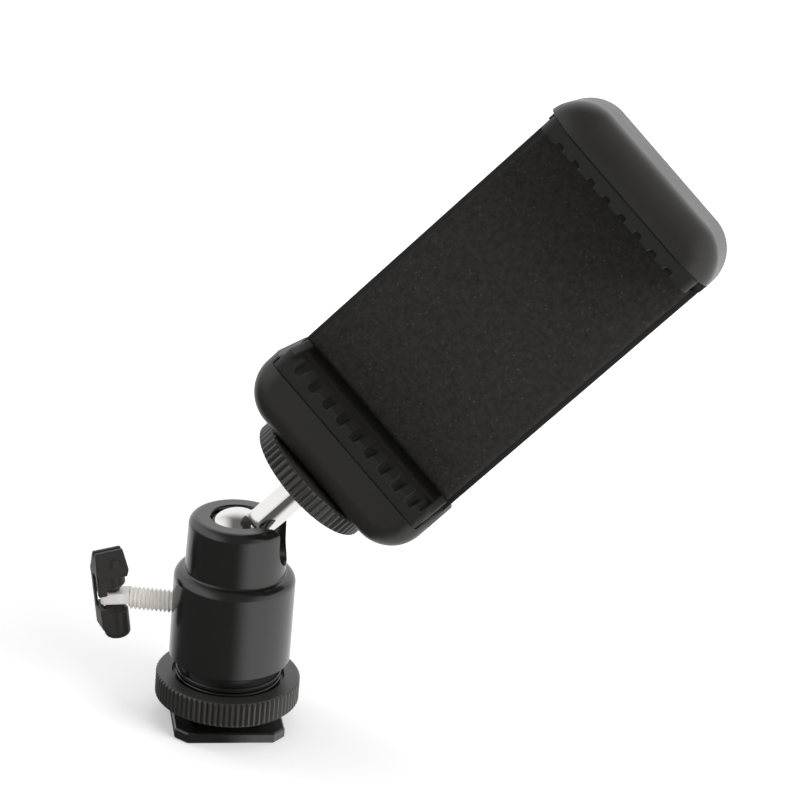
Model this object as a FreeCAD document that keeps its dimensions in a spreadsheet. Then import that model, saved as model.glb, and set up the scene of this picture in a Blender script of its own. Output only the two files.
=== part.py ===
import FreeCAD, Part
import os
import re
import Sketcher

# Phone clamp on a mini ball head, in millimetres and degrees.
# The origin is the centre of the shoe foot's underside, with +Z up and the foot's edges along X and Y.
# The head, the ball's stem and the clamp each have a frame of their own, turned against the foot.

SIZES = {
    # Shoe foot
    "foot_width": 18.5,
    "foot_thickness": 1.9,
    "foot_corner": 2.0,
    "foot_bevel": 0.25,
    "foot_stem_radius": 6.0,
    "tripod_thread_radius": 2.6,
    "tripod_thread_depth": 10.0,
    # Lock ring
    "ring_lift": 4.5,
    "ring_radius": 12.15,
    "ring_thickness": 4.35,
    "ring_recess_radius": 9.5,
    "ring_recess_depth": 0.9,
    "ring_bevel": 0.35,
    "ring_teeth": 80,
    "ring_tooth_depth": 0.38,
    "knurl_share": 0.72,
    # Head housing
    "head_turn": -11.8,
    "neck_radius": 8.9,
    "neck_groove_radius": 8.1,
    "neck_bead": 0.75,
    "barrel_base": 12.0,
    "barrel_radius": 10.15,
    "barrel_bevel": 0.3,
    "shoulder_drop": 4.7,
    "shoulder_round": 1.6,
    "collar_base_radius": 8.45,
    "collar_radius": 8.2,
    "collar_foot_round": 0.35,
    "bead_bevel": 0.12,
    "rim_rise": 4.8,
    "rim_round": 1.5,
    "opening_radius": 4.7,
    "opening_bevel": 0.15,
    "chamber_drop": 2.8,
    "chamber_wall": 1.0,
    "slot_width": 6.8,
    "slot_rise": 0.7,
    "slot_turn": -4.0,
    # Ball, stem and stud
    "ball_height": 32.6,
    "ball_radius": 6.0,
    "ball_tilt": 41.3,
    "stem_radius": 2.5,
    "stem_length": 16.5,
    "stem_blend": 1.2,
    "stud_radius": 3.12,
    "stud_shoulder": 1.2,
    "flange_radius": 3.75,
    "flange_thickness": 1.0,
    "stud_reach": 6.5,
    "stud_bevel": 0.5,
    # Seat, wedge pin and clamp screw
    "seat_drop": 3.2,
    "seat_sink": 1.8,
    "screw_drop": 11.8,
    "screw_radius": 1.95,
    "screw_start": 8.6,
    "screw_bevel": 0.4,
    "pin_reach": 3.0,
    "wedge_slope": 30.0,
    "wedge_nose": 0.25,
    # Wing handle on the screw's flat head
    "handle_reach": 20.0,
    "handle_lean": 8.5,
    "handle_turn": 24.0,
    "head_width": 2.1,
    "head_neck": 2.85,
    "shank_reach": 2.65,
    "head_depth": 3.4,
    "head_tall": 1.9,
    "head_round": 0.75,
    "lobe_radius": 2.2,
    "lobe_tip_radius": 1.15,
    "lobe_step": 0.4,
    "lobe_taper": 1.0,
    "strap_inside": 2.5,
    "strap_half": 2.1,
    "strap_low": 6.4,
    "strap_low_reach": 2.9,
    "strap_high_reach": 3.0,
    "window_half": 1.0,
    "lower_lobe_end": 7.3,
    "lower_lobe_round": 1.0,
    "waist_height": 3.9,
    "waist_half": 2.15,
    "grip_bulge_height": 5.1,
    "grip_bulge_half": 2.25,
    "grip_top": 8.4,
    "grip_bulge": 2.55,
    "grip_tip_outer": 2.6,
    "grip_tip_inner": 2.15,
    "grip_tip_depth": 2.0,
    "grip_slit_width": 0.5,
    "grip_slit_depth": 0.9,
    "gap_back": 0.9,
    "gap_low": 1.4,
    "pocket_front": 1.15,
    "pocket_high": 4.6,
    "pocket_floor": 1.6,
    "boss_radius": 0.8,
    "boss_reach": 0.45,
    "boss_height": 6.3,
    "boss_half": 2.05,
    "handle_pin_radius": 0.6,
    "handle_pin_half": 5.6,
    # Lock disc
    "disc_radius": 11.55,
    "disc_thickness": 3.3,
    "disc_bevel": 0.3,
    "disc_teeth": 60,
    "disc_tooth_depth": 0.4,
    # Clamp as a whole
    "clamp_turn": -16.6,
    "jaw_half": 18.6,
    "jaw_front": 10.2,
    "clamp_back": 12.6,
    "jaw_round": 7.0,
    "jaw_front_round": 3.6,
    "upper_front_round": 5.8,
    "jaw_back_round": 4.0,
    "jaw_gap": 0.2,
    # Lower jaw and back box
    "jaw_thickness": 8.1,
    "cheek_rise": 1.3,
    "box_half": 18.1,
    "box_front": 5.0,
    "box_drop": 0.65,
    "box_round": 2.6,
    "wall": 1.5,
    "cavity_half": 16.2,
    "cavity_rise": 1.9,
    "cavity_wall": 4.0,
    "cover_half": 17.0,
    "cover_rise": 3.5,
    "cover_margin": 0.8,
    "cover_thickness": 1.6,
    "cover_round": 0.3,
    "screw_hole_radius": 0.8,
    "screw_hole_depth": 5.0,
    "cover_head_radius": 1.7,
    "cover_head_depth": 0.9,
    "low_screw_half": 13.0,
    "low_screw_rise": 3.0,
    "high_screw_half": 14.0,
    # Thread insert
    "insert_radius": 3.9,
    "insert_length": 6.6,
    "insert_bevel": 0.4,
    # Pads
    "pad_half": 17.4,
    "upper_pad_half": 16.8,
    "pad_round": 1.3,
    "pad_depth": 11.5,
    "pad_thickness": 1.8,
    "pad_inset": 0.1,
    "lower_teeth": 10,
    "lower_pitch": 3.4,
    "lower_tooth_width": 1.8,
    "lower_tooth_height": 0.95,
    "lower_tooth_depth": 6.2,
    "lip_width": 1.5,
    "lip_rise": 2.0,
    "upper_teeth": 9,
    "upper_pitch": 3.6,
    "upper_tooth_width": 2.0,
    "upper_tooth_height": 0.8,
    "upper_tooth_depth": 6.2,
    # Foam
    "foam_half": 17.2,
    "foam_thickness": 1.6,
    "foam_rise": 0.2,
    "foam_gap": 0.6,
    # Upper jaw, slider and jaw cover
    "mouth": 54.7,
    "upper_jaw_thickness": 6.15,
    "upper_jaw_half": 18.2,
    "upper_back_round": 6.8,
    "skirt_gap": 0.3,
    "slider_half": 11.0,
    "slider_thickness": 2.7,
    "slider_rise": 6.5,
    "ear_rise": 11.0,
    "ear_tall": 1.9,
    "ear_thickness": 1.3,
    "jaw_cover_half": 11.0,
    "jaw_cover_rise": 0.6,
    "jaw_cover_drop": 4.5,
    "jaw_hollow_depth": 6.2,
    "jaw_screw_half": 8.0,
    # Springs and their posts
    "spring_half": 13.9,
    "spring_radius": 1.9,
    "spring_wire": 0.28,
    "post_radius": 0.8,
    "post_rise": 1.9,
    "post_reach": 4.3,
    # Fits
    "running_fit": 0.05,
    "press_fit": 0.02,
    "slide_fit": 0.3,
    "seat_fit": 0.1,
    # Cutters run past a face by this much
    "overcut": 1.0,
}

# Places that several pieces share, worked out from the sizes
PLACES = {
    "ring_top": "ring_lift + ring_thickness",
    "neck_base": "ring_top - ring_recess_depth + slide_fit",
    "socket_radius": "ball_radius + running_fit",
    "slot_height": "ball_height + slot_rise",
    "rim_height": "ball_height + rim_rise",
    "shoulder_height": "ball_height - shoulder_drop",
    "screw_height": "ball_height - screw_drop",
    "chamber_floor": "screw_height - chamber_drop",
    "foot_stem_height": "chamber_floor - chamber_wall",
    "seat_top": "ball_height - seat_drop",
    "seat_base": "screw_height - seat_sink",
    "jaw_base": "disc_thickness + jaw_gap",
    "jaw_top": "jaw_base + jaw_thickness",
    "cheek_top": "jaw_top + cheek_rise",
    "lower_tips": "jaw_top + pad_thickness + lower_tooth_height",
    "upper_tips": "lower_tips + mouth",
    "upper_jaw_base": "upper_tips + upper_tooth_height + pad_thickness",
    "upper_jaw_top": "upper_jaw_base + upper_jaw_thickness",
    "box_top": "upper_tips - box_drop",
    "skirt_base": "box_top + skirt_gap",
    "cavity_base": "jaw_top + cavity_rise",
    "cavity_top": "box_top - cavity_wall",
    "cavity_front": "box_front + wall",
    "cover_front": "clamp_back - cover_thickness",
    "cover_base": "jaw_base + cover_rise",
    "cover_top": "box_top - cover_margin",
    "low_screw_height": "cover_base + low_screw_rise",
    "foam_base": "lower_tips + foam_rise",
    "slider_front": "cavity_front + slide_fit",
    "slider_back": "slider_front + slider_thickness",
    "slider_low": "cavity_base + slider_rise",
    "ear_low": "slider_low + ear_rise",
    "ear_post_height": "ear_low + ear_tall / 2",
    "jaw_cover_low": "skirt_base + jaw_cover_rise",
    "jaw_cover_high": "upper_jaw_top - jaw_cover_drop",
    "low_post_height": "cavity_base + post_rise",
    "loop_radius": "post_radius + running_fit + spring_wire + seat_fit",
    "spring_depth": "cover_front - slide_fit - spring_radius",
}

SHEET = "Sizes"

document = FreeCAD.newDocument("phone_clamp_ball_head")
sheet = document.addObject("Spreadsheet::Sheet", SHEET)
cells = {alias: str(value) for alias, value in SIZES.items()}
cells.update({alias: f"={formula}" for alias, formula in PLACES.items()})
for row, (alias, content) in enumerate(cells.items(), start=1):
    sheet.set(f"A{row}", alias.replace("_", " "))
    sheet.set(f"B{row}", content)
    sheet.setAlias(f"B{row}", alias)
document.recompute()


# Helpers for values and frames
def sized(text):
    """Return an expression in which each size is read from the sheet."""
    for word in set(re.findall(r"[a-z_]+", text)):
        if word in cells:
            text = re.sub(rf"\b{word}\b", f"{SHEET}.{word}", text)
    return text


def number(text):
    """Return the value of an expression of sizes."""
    return float(sheet.evalExpression(text))


def bind(feature, prop, text):
    feature.setExpression(prop, sized(text))


def frame(base, x="0", y="0", z="0", turns=()):
    """Return the placement at x, y, z of base that is turned there about one axis after another."""
    rotation = FreeCAD.Rotation()
    for axis, angle in turns:
        rotation = rotation * FreeCAD.Rotation(axis, number(angle))
    return base * FreeCAD.Placement(FreeCAD.Vector(number(x), number(y), number(z)), rotation)


X_AXIS = FreeCAD.Vector(1, 0, 0)
Y_AXIS = FreeCAD.Vector(0, 1, 0)
Z_AXIS = FreeCAD.Vector(0, 0, 1)
FOOT = FreeCAD.Placement()
HEAD = frame(FOOT, turns=[(Z_AXIS, "head_turn")])
STUD = frame(HEAD, z="ball_height", turns=[(Y_AXIS, "ball_tilt")])
CLAMP = frame(STUD, z="stem_length", turns=[(Z_AXIS, "clamp_turn")])
HANDLE_TURNS = [(Y_AXIS, "-handle_lean"), (Z_AXIS, "handle_turn")]
HANDLE = frame(HEAD, x="-handle_reach", z="screw_height", turns=HANDLE_TURNS)

bodies = []


# Helpers for bodies and their features
def new_body(label, placement):
    body = document.addObject("PartDesign::Body", label)
    body.Label = label
    body.Placement = placement
    bodies.append(body)
    return body


def sketch_on(body, name, role, height="0"):
    """Add a sketch on one of the body's origin planes, raised along the plane's normal."""
    sketch = body.newObject("Sketcher::SketchObject", name)
    plane = next(item for item in body.Origin.OriginFeatures if item.Role == role)
    sketch.AttachmentSupport = [(plane, "")]
    sketch.MapMode = "FlatFace"
    if height != "0":
        bind(sketch, "AttachmentOffset.Base.z", height)
    return sketch


def outline(sketch, points):
    """Draw a closed outline whose corners are pairs of expressions."""
    corners = [FreeCAD.Vector(number(x), number(y), 0) for x, y in points]
    first = len(sketch.Geometry)
    count = len(points)
    for index in range(count):
        sketch.addGeometry(Part.LineSegment(corners[index], corners[(index + 1) % count]), False)
    for index in range(count):
        after = first + (index + 1) % count
        sketch.addConstraint(Sketcher.Constraint("Coincident", first + index, 2, after, 1))
    for index in range(count):
        pin_point(sketch, first + index, 1, points[index])


def pin_point(sketch, edge, end, point):
    """Hold one end of an edge, or a circle's centre, at a pair of expressions."""
    for kind, text in zip(("DistanceX", "DistanceY"), point):
        place = sketch.addConstraint(Sketcher.Constraint(kind, -1, 1, edge, end, number(text)))
        if re.search("[a-z]", text):
            bind(sketch, f"Constraints[{place}]", text)


def circle(sketch, x, y, radius):
    centre = FreeCAD.Vector(number(x), number(y), 0)
    edge = sketch.addGeometry(Part.Circle(centre, Z_AXIS, number(radius)), False)
    pin_point(sketch, edge, 3, (x, y))
    place = sketch.addConstraint(Sketcher.Constraint("Radius", edge, number(radius)))
    bind(sketch, f"Constraints[{place}]", radius)


def swing(sketch, angle):
    """Turn a sketch on an upright plane about the body's Z axis."""
    sketch.AttachmentOffset = FreeCAD.Placement(FreeCAD.Vector(), FreeCAD.Rotation(Y_AXIS, number(angle)))
    bind(sketch, "AttachmentOffset.Rotation.Angle", angle)


def rectangle(sketch, x0, x1, y0, y1):
    outline(sketch, [(x0, y0), (x1, y0), (x1, y1), (x0, y1)])


def extrude(body, kind, name, sketch, length, both_ways=False, reverse=False):
    """Add a Pad or a Pocket of the sketch."""
    feature = body.newObject(f"PartDesign::{kind}", name)
    feature.Profile = sketch
    bind(feature, "Length", length)
    feature.SideType = "Symmetric" if both_ways else "One side"
    feature.Reversed = reverse
    document.recompute()
    return feature


def turn(body, kind, name, sketch):
    """Add a full Revolution or Groove of the sketch about its upright axis."""
    feature = body.newObject(f"PartDesign::{kind}", name)
    feature.Profile = sketch
    feature.ReferenceAxis = (sketch, ["V_Axis"])
    feature.Angle = 360
    document.recompute()
    return feature


def primitive(body, kind, name, sizes, x="0", y="0", z="0", rotation=None):
    """Add an additive or subtractive box, cylinder or sphere at a place in the body."""
    feature = body.newObject(f"PartDesign::{kind}", name)
    for prop, text in sizes.items():
        bind(feature, prop, text)
    if rotation:
        feature.Placement = FreeCAD.Placement(FreeCAD.Vector(), rotation)
    for axis, text in zip("xyz", (x, y, z)):
        if text != "0":
            bind(feature, f"Placement.Base.{axis}", text)
    document.recompute()
    return feature


def edges_of(body, test):
    """Name the edges whose middle and two ends all pass the test."""
    names = []
    for index, edge in enumerate(body.Tip.Shape.Edges, start=1):
        middle = edge.valueAt((edge.FirstParameter + edge.LastParameter) / 2)
        points = [middle] + [vertex.Point for vertex in edge.Vertexes]
        if all(test(point) for point in points):
            names.append(f"Edge{index}")
    return names


def soften(body, kind, name, size, test):
    """Add a Fillet or a Chamfer of the edges that pass the test."""
    names = edges_of(body, test)
    if not names:
        raise RuntimeError(f"{body.Label}: {name} finds no edge")
    before = body.Tip
    feature = body.newObject(f"PartDesign::{kind}", name)
    feature.Base = (before, names)
    bind(feature, "Radius" if kind == "Fillet" else "Size", size)
    document.recompute()
    return feature


def near(value, text, slack=0.01):
    return abs(value - number(text)) < slack


def at_radius(point, text):
    return abs((point.x**2 + point.y**2) ** 0.5 - number(text)) < 0.01


def knurl(body, radius, depth, teeth, tall):
    """Cut straight V grooves round a rim, with lands between them a third as wide as a groove."""
    sketch = sketch_on(body, "KnurlSketch", "XY_Plane")
    half = f"pi * ({radius}) / ({teeth}) * knurl_share"
    outer = f"{radius} + {depth}"
    wide = f"({half}) * 2"
    outline(sketch, [(f"{radius} - {depth}", "0"), (outer, wide), (outer, f"-({wide})")])
    groove = extrude(body, "Pocket", "KnurlGroove", sketch, tall, reverse=True)
    pattern = body.newObject("PartDesign::PolarPattern", "Knurl")
    pattern.Originals = [groove]
    pattern.Axis = (sketch, ["N_Axis"])
    pattern.Angle = 360
    bind(pattern, "Occurrences", teeth)
    body.Tip = pattern
    document.recompute()


def make_shoe_foot():
    body = new_body("shoe_foot", FOOT)
    half = "foot_width / 2"
    cut = "foot_width / 2 - foot_corner"
    corners = [(half, cut), (cut, half), (f"-({cut})", half), (f"-({half})", cut)]
    corners += [(f"-({x})", f"-({y})") for x, y in corners]
    plate = sketch_on(body, "PlateSketch", "XY_Plane")
    outline(plate, corners)
    extrude(body, "Pad", "Plate", plate, "foot_thickness")
    soften(
        body,
        "Chamfer",
        "PlateBevel",
        "foot_bevel",
        lambda point: near(point.z, "0") or near(point.z, "foot_thickness"),
    )
    stem = sketch_on(body, "StemSketch", "XY_Plane", "foot_thickness / 2")
    circle(stem, "0", "0", "foot_stem_radius")
    extrude(body, "Pad", "Stem", stem, "foot_stem_height - foot_thickness / 2")
    hole = sketch_on(body, "TripodThreadSketch", "XY_Plane")
    circle(hole, "0", "0", "tripod_thread_radius")
    extrude(body, "Pocket", "TripodThread", hole, "tripod_thread_depth", reverse=True)


def make_lock_ring():
    body = new_body("lock_ring", frame(FOOT, z="ring_lift"))
    bore = "foot_stem_radius + running_fit"
    rim = "ring_radius - ring_bevel"
    profile = sketch_on(body, "RingSketch", "XZ_Plane")
    points = [
        (bore, "0"),
        (rim, "0"),
        ("ring_radius", "ring_bevel"),
        ("ring_radius", "ring_thickness - ring_bevel"),
        (rim, "ring_thickness"),
        ("ring_recess_radius", "ring_thickness"),
        ("ring_recess_radius", "ring_thickness - ring_recess_depth"),
        (bore, "ring_thickness - ring_recess_depth"),
    ]
    outline(profile, points)
    turn(body, "Revolution", "Ring", profile)
    knurl(body, "ring_radius", "ring_tooth_depth", "ring_teeth", "ring_thickness")


def make_head_housing():
    body = new_body("head_housing", HEAD)
    profile = sketch_on(body, "HousingSketch", "XZ_Plane")
    bead = "neck_base + neck_bead"
    groove = f"{bead} + neck_bead / 3"
    points = [
        ("0", "neck_base"),
        ("neck_radius", "neck_base"),
        ("neck_radius", bead),
        ("neck_groove_radius", bead),
        ("neck_groove_radius", groove),
        ("neck_radius", groove),
        ("neck_radius", f"{groove} + neck_bead"),
        ("neck_groove_radius", f"{groove} + neck_bead"),
        ("neck_groove_radius", "barrel_base"),
        ("barrel_radius", "barrel_base"),
        ("barrel_radius", "shoulder_height"),
        ("collar_base_radius", "shoulder_height"),
        ("collar_radius", "rim_height"),
        ("0", "rim_height"),
    ]
    outline(profile, points)
    turn(body, "Revolution", "Turned", profile)
    soften(
        body,
        "Fillet",
        "Shoulder",
        "shoulder_round",
        lambda point: near(point.z, "shoulder_height") and at_radius(point, "barrel_radius"),
    )
    soften(
        body,
        "Fillet",
        "Rim",
        "rim_round",
        lambda point: near(point.z, "rim_height") and at_radius(point, "collar_radius"),
    )
    soften(
        body,
        "Fillet",
        "CollarFoot",
        "collar_foot_round",
        lambda point: near(point.z, "shoulder_height") and at_radius(point, "collar_base_radius"),
    )
    soften(
        body,
        "Chamfer",
        "BeadBevels",
        "bead_bevel",
        lambda point: point.z < number("barrel_base") and at_radius(point, "neck_radius"),
    )
    soften(
        body,
        "Chamfer",
        "BarrelBevel",
        "barrel_bevel",
        lambda point: near(point.z, "barrel_base") and at_radius(point, "barrel_radius"),
    )
    primitive(
        body,
        "SubtractiveCylinder",
        "Chamber",
        {"Radius": "socket_radius", "Height": "ball_height - chamber_floor"},
        z="chamber_floor",
    )
    primitive(body, "SubtractiveSphere", "Socket", {"Radius": "socket_radius"}, z="ball_height")
    primitive(
        body,
        "SubtractiveCylinder",
        "Opening",
        {"Radius": "opening_radius", "Height": "rim_height - ball_height"},
        z="ball_height",
    )
    soften(
        body,
        "Chamfer",
        "OpeningBevel",
        "opening_bevel",
        lambda point: near(point.z, "rim_height") and at_radius(point, "opening_radius"),
    )
    primitive(
        body,
        "SubtractiveCylinder",
        "FootSocket",
        {
            "Radius": "foot_stem_radius + press_fit",
            "Height": "foot_stem_height + press_fit - neck_base",
        },
        z="neck_base",
    )
    slot = sketch_on(body, "SlotSketch", "YZ_Plane")
    swing(slot, "slot_turn")
    rectangle(slot, "-slot_width / 2", "slot_width / 2", "slot_height", "rim_height + overcut")
    extrude(body, "Pocket", "Slot", slot, "barrel_radius", reverse=True)
    floor = sketch_on(body, "SlotFloorSketch", "YZ_Plane")
    swing(floor, "slot_turn")
    circle(floor, "0", "slot_height", "slot_width / 2")
    extrude(body, "Pocket", "SlotFloor", floor, "barrel_radius", reverse=True)
    bore = sketch_on(body, "ScrewBoreSketch", "YZ_Plane")
    circle(bore, "0", "screw_height", "screw_radius + running_fit")
    extrude(body, "Pocket", "ScrewBore", bore, "barrel_radius + overcut")


def make_ball_stud():
    body = new_body("ball_stud", STUD)
    primitive(body, "AdditiveSphere", "Ball", {"Radius": "ball_radius"})
    primitive(body, "AdditiveCylinder", "Stem", {"Radius": "stem_radius", "Height": "stem_length"})
    reach = "stem_length + disc_thickness + stud_reach"
    soften(
        body,
        "Fillet",
        "StemBlend",
        "stem_blend",
        lambda point: at_radius(point, "stem_radius")
        and number("ball_radius / 2") < point.z < number("ball_radius"),
    )
    primitive(
        body,
        "AdditiveCylinder",
        "Flange",
        {"Radius": "flange_radius", "Height": "flange_thickness"},
        z="stem_length - flange_thickness",
    )
    primitive(
        body,
        "AdditiveCylinder",
        "Stud",
        {"Radius": "stud_radius", "Height": f"{reach} - stem_length + stud_shoulder"},
        z="stem_length - stud_shoulder",
    )
    soften(
        body,
        "Chamfer",
        "StudTip",
        "stud_bevel",
        lambda point: near(point.z, reach) and at_radius(point, "stud_radius"),
    )


def make_ball_seat():
    body = new_body("ball_seat", HEAD)
    primitive(
        body,
        "AdditiveCylinder",
        "Seat",
        {"Radius": "ball_radius", "Height": "seat_top - seat_base"},
        z="seat_base",
    )
    primitive(body, "SubtractiveSphere", "Cup", {"Radius": "socket_radius"}, z="ball_height")
    low = "screw_height - screw_radius"
    slope = "tan(wedge_slope)"
    wedge = sketch_on(body, "WedgeSketch", "XZ_Plane")
    wide = "ball_radius + overcut"
    base = f"{low} + seat_fit + pin_reach * {slope}"
    points = [
        (f"-({wide})", "chamber_floor"),
        (wide, "chamber_floor"),
        (wide, f"{base} - ({wide}) * {slope}"),
        (f"-({wide})", f"{base} + ({wide}) * {slope}"),
    ]
    outline(wedge, points)
    extrude(body, "Pocket", "Wedge", wedge, "(ball_radius + overcut) * 2", both_ways=True)


def make_pressure_pin():
    body = new_body("pressure_pin", HEAD)
    round_bar = sketch_on(body, "PinSketch", "YZ_Plane", "-screw_start + seat_fit")
    circle(round_bar, "0", "screw_height", "screw_radius")
    extrude(body, "Pad", "Pin", round_bar, "screw_start - seat_fit + pin_reach - wedge_nose")
    low = "screw_height - screw_radius"
    slope = "tan(wedge_slope)"
    wedge = sketch_on(body, "WedgeSketch", "XZ_Plane")
    back = "-screw_start"
    front = "pin_reach + overcut"
    points = [
        (back, f"{low} + (pin_reach + screw_start) * {slope}"),
        (front, f"{low} - overcut * {slope}"),
        (front, f"{low} + (pin_reach + screw_start) * {slope}"),
    ]
    outline(wedge, points)
    extrude(body, "Pocket", "Wedge", wedge, "(screw_radius + overcut) * 2", both_ways=True)


def leaned(x, z):
    """Return the place in the head's frame of a point of the handle's leaned upright plane."""
    along = f"({x}) * cos(handle_lean) - ({z}) * sin(handle_lean) - handle_reach"
    return along, f"({x}) * sin(handle_lean) + ({z}) * cos(handle_lean) + screw_height"


def make_clamp_screw():
    body = new_body("clamp_screw", HEAD)
    head = sketch_on(body, "HeadSketch", "XZ_Plane")
    ends = [("-head_width", "-"), ("head_neck", "-"), ("head_neck", ""), ("-head_width", "")]
    outline(head, [leaned(x, f"{side}head_tall / 2") for x, side in ends])
    extrude(body, "Pad", "FlatHead", head, "head_depth", both_ways=True)
    soften(
        body,
        "Fillet",
        "HeadRound",
        "head_round",
        lambda point: near(abs(point.y), "head_depth / 2") and point.x < number("-handle_reach"),
    )
    lean = FreeCAD.Rotation(Y_AXIS, number("-handle_lean"))
    low_x, low_z = leaned("0", "-head_tall")
    primitive(
        body,
        "SubtractiveCylinder",
        "CrossHole",
        {"Radius": "handle_pin_radius + running_fit", "Height": "head_tall * 2"},
        x=low_x,
        z=low_z,
        rotation=lean,
    )
    shank = sketch_on(body, "ShankSketch", "YZ_Plane", "shank_reach - handle_reach")
    circle(shank, "0", "screw_height", "screw_radius")
    extrude(body, "Pad", "Shank", shank, "handle_reach - shank_reach - screw_start")
    soften(body, "Chamfer", "Tip", "screw_bevel", lambda point: near(point.x, "-screw_start"))


def make_wing_handle():
    body = new_body("wing_handle", HANDLE)
    lobes = sketch_on(body, "LobeSketch", "XY_Plane", "-lower_lobe_end")
    circle(lobes, "0", "0", "lobe_radius")
    extrude(body, "Pad", "Lobes", lobes, "lower_lobe_end + waist_height")
    soften(body, "Fillet", "LowerEnd", "lower_lobe_round", lambda point: near(point.z, "-lower_lobe_end"))
    strap = sketch_on(body, "StrapSketch", "XZ_Plane")
    corner = "(strap_low - strap_low_reach / 2)"
    points = [
        ("0", "-strap_low"),
        ("-strap_low_reach / 2", "-strap_low"),
        ("-strap_low_reach", f"-{corner}"),
        ("-strap_high_reach", "grip_bulge_height"),
        ("0", "grip_bulge_height"),
    ]
    outline(strap, points)
    extrude(body, "Pad", "Strap", strap, "strap_half * 2", both_ways=True)
    widening = f"(strap_high_reach - strap_low_reach) / (grip_bulge_height + {corner})"
    waist_reach = f"strap_low_reach + {widening} * (waist_height + {corner})"
    sections = [
        ("waist_height", waist_reach, "lobe_radius", "waist_half"),
        ("grip_bulge_height", "strap_high_reach", "grip_bulge", "grip_bulge_half"),
        ("grip_top", "grip_tip_outer", "grip_tip_inner", "grip_tip_depth / 2"),
    ]
    for low, high in zip(sections, sections[1:]):
        loft_between(body, low, high)
    window = sketch_on(body, "WindowSketch", "XZ_Plane")
    rectangle(window, "-strap_inside", "lobe_radius + overcut", "-window_half", "window_half")
    extrude(body, "Pocket", "Window", window, "(lobe_radius + overcut) * 2", both_ways=True)
    for side in ("-", ""):
        groove = sketch_on(body, "GrooveSketch", "XZ_Plane")
        tip = f"{side}window_half"
        cone = f"{side}(window_half + lobe_step)"
        wide = f"{side}(window_half + lobe_step + lobe_taper)"
        points = [
            ("lobe_tip_radius", tip),
            ("strap_inside", tip),
            ("strap_inside", wide),
            ("lobe_radius", wide),
            ("lobe_tip_radius", cone),
        ]
        outline(groove, points)
        turn(body, "Groove", "Groove", groove)
    gap = sketch_on(body, "GapSketch", "XZ_Plane", "-gap_back")
    rectangle(gap, "-strap_high_reach - overcut", "-pocket_floor", "-gap_low", "window_half")
    extrude(body, "Pocket", "Gap", gap, "gap_back + strap_half + overcut", reverse=True)
    pocket = sketch_on(body, "PocketSketch", "YZ_Plane", "-pocket_floor")
    rectangle(pocket, "-pocket_front", "gap_back", "window_half", "pocket_high")
    extrude(body, "Pocket", "Pocket", pocket, "strap_high_reach")
    slit = sketch_on(body, "SlitSketch", "YZ_Plane")
    half_slit = "grip_slit_width / 2"
    rectangle(slit, f"-{half_slit}", half_slit, "grip_top - grip_slit_depth", "grip_top + overcut")
    extrude(body, "Pocket", "Slit", slit, "(grip_bulge + overcut) * 2", both_ways=True)
    boss = sketch_on(body, "BossSketch", "XZ_Plane")
    circle(boss, "boss_reach", "boss_height", "boss_radius")
    extrude(body, "Pad", "Boss", boss, "boss_half * 2", both_ways=True)
    primitive(
        body,
        "SubtractiveCylinder",
        "PinHole",
        {"Radius": "handle_pin_radius + press_fit", "Height": "handle_pin_half * 2 + press_fit * 2"},
        z="-handle_pin_half - press_fit",
    )


def loft_between(body, low, high):
    """Add the grip between two rectangles, each given by its height, reaches and half depth."""
    sketches = []
    for height, left, right, depth in (low, high):
        sketch = sketch_on(body, "GripSketch", "XY_Plane", height)
        rectangle(sketch, f"-({left})", right, f"-({depth})", depth)
        sketches.append(sketch)
    loft = body.newObject("PartDesign::AdditiveLoft", "Grip")
    loft.Profile = sketches[0]
    loft.Sections = [sketches[1]]
    loft.Ruled = True
    document.recompute()


def make_handle_pin():
    body = new_body("handle_pin", HANDLE)
    primitive(
        body,
        "AdditiveCylinder",
        "Pin",
        {"Radius": "handle_pin_radius", "Height": "handle_pin_half * 2"},
        z="-handle_pin_half",
    )


def make_lock_disc():
    body = new_body("lock_disc", frame(STUD, z="stem_length"))
    rim = "disc_radius - disc_bevel"
    bore = "stud_radius + running_fit"
    profile = sketch_on(body, "DiscSketch", "XZ_Plane")
    points = [
        (bore, "0"),
        (rim, "0"),
        ("disc_radius", "disc_bevel"),
        ("disc_radius", "disc_thickness - disc_bevel"),
        (rim, "disc_thickness"),
        (bore, "disc_thickness"),
    ]
    outline(profile, points)
    turn(body, "Revolution", "Disc", profile)
    knurl(body, "disc_radius", "disc_tooth_depth", "disc_teeth", "disc_thickness")


def make_thread_insert():
    body = new_body("thread_insert", CLAMP)
    bore = "stud_radius + running_fit"
    profile = sketch_on(body, "InsertSketch", "XZ_Plane")
    top = "jaw_base + insert_length"
    points = [
        (bore, "jaw_base"),
        ("insert_radius - insert_bevel", "jaw_base"),
        ("insert_radius", "jaw_base + insert_bevel"),
        ("insert_radius", top),
        (bore, top),
    ]
    outline(profile, points)
    turn(body, "Revolution", "Insert", profile)


def jaw_block(body, half, base, top, round_at, front_round, back_round):
    """Add a jaw: its front outline with two round corners, pushed back, with soft edges."""
    front = sketch_on(body, "JawSketch", "XZ_Plane", "jaw_front")
    rectangle(front, f"-{half}", half, base, top)
    extrude(body, "Pad", "Jaw", front, "jaw_front + clamp_back", reverse=True)
    soften(
        body,
        "Fillet",
        "JawCorners",
        "jaw_round",
        lambda point: near(abs(point.x), half) and near(point.z, round_at),
    )
    other = top if round_at == base else base
    soften(
        body,
        "Fillet",
        "JawFront",
        front_round,
        lambda point: near(point.y, "-jaw_front")
        and (not near(point.z, other) or near(abs(point.x), half)),
    )
    soften(
        body,
        "Fillet",
        "JawBack",
        back_round,
        lambda point: near(point.y, "clamp_back")
        and (not near(point.z, other) or near(abs(point.x), half)),
    )


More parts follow.
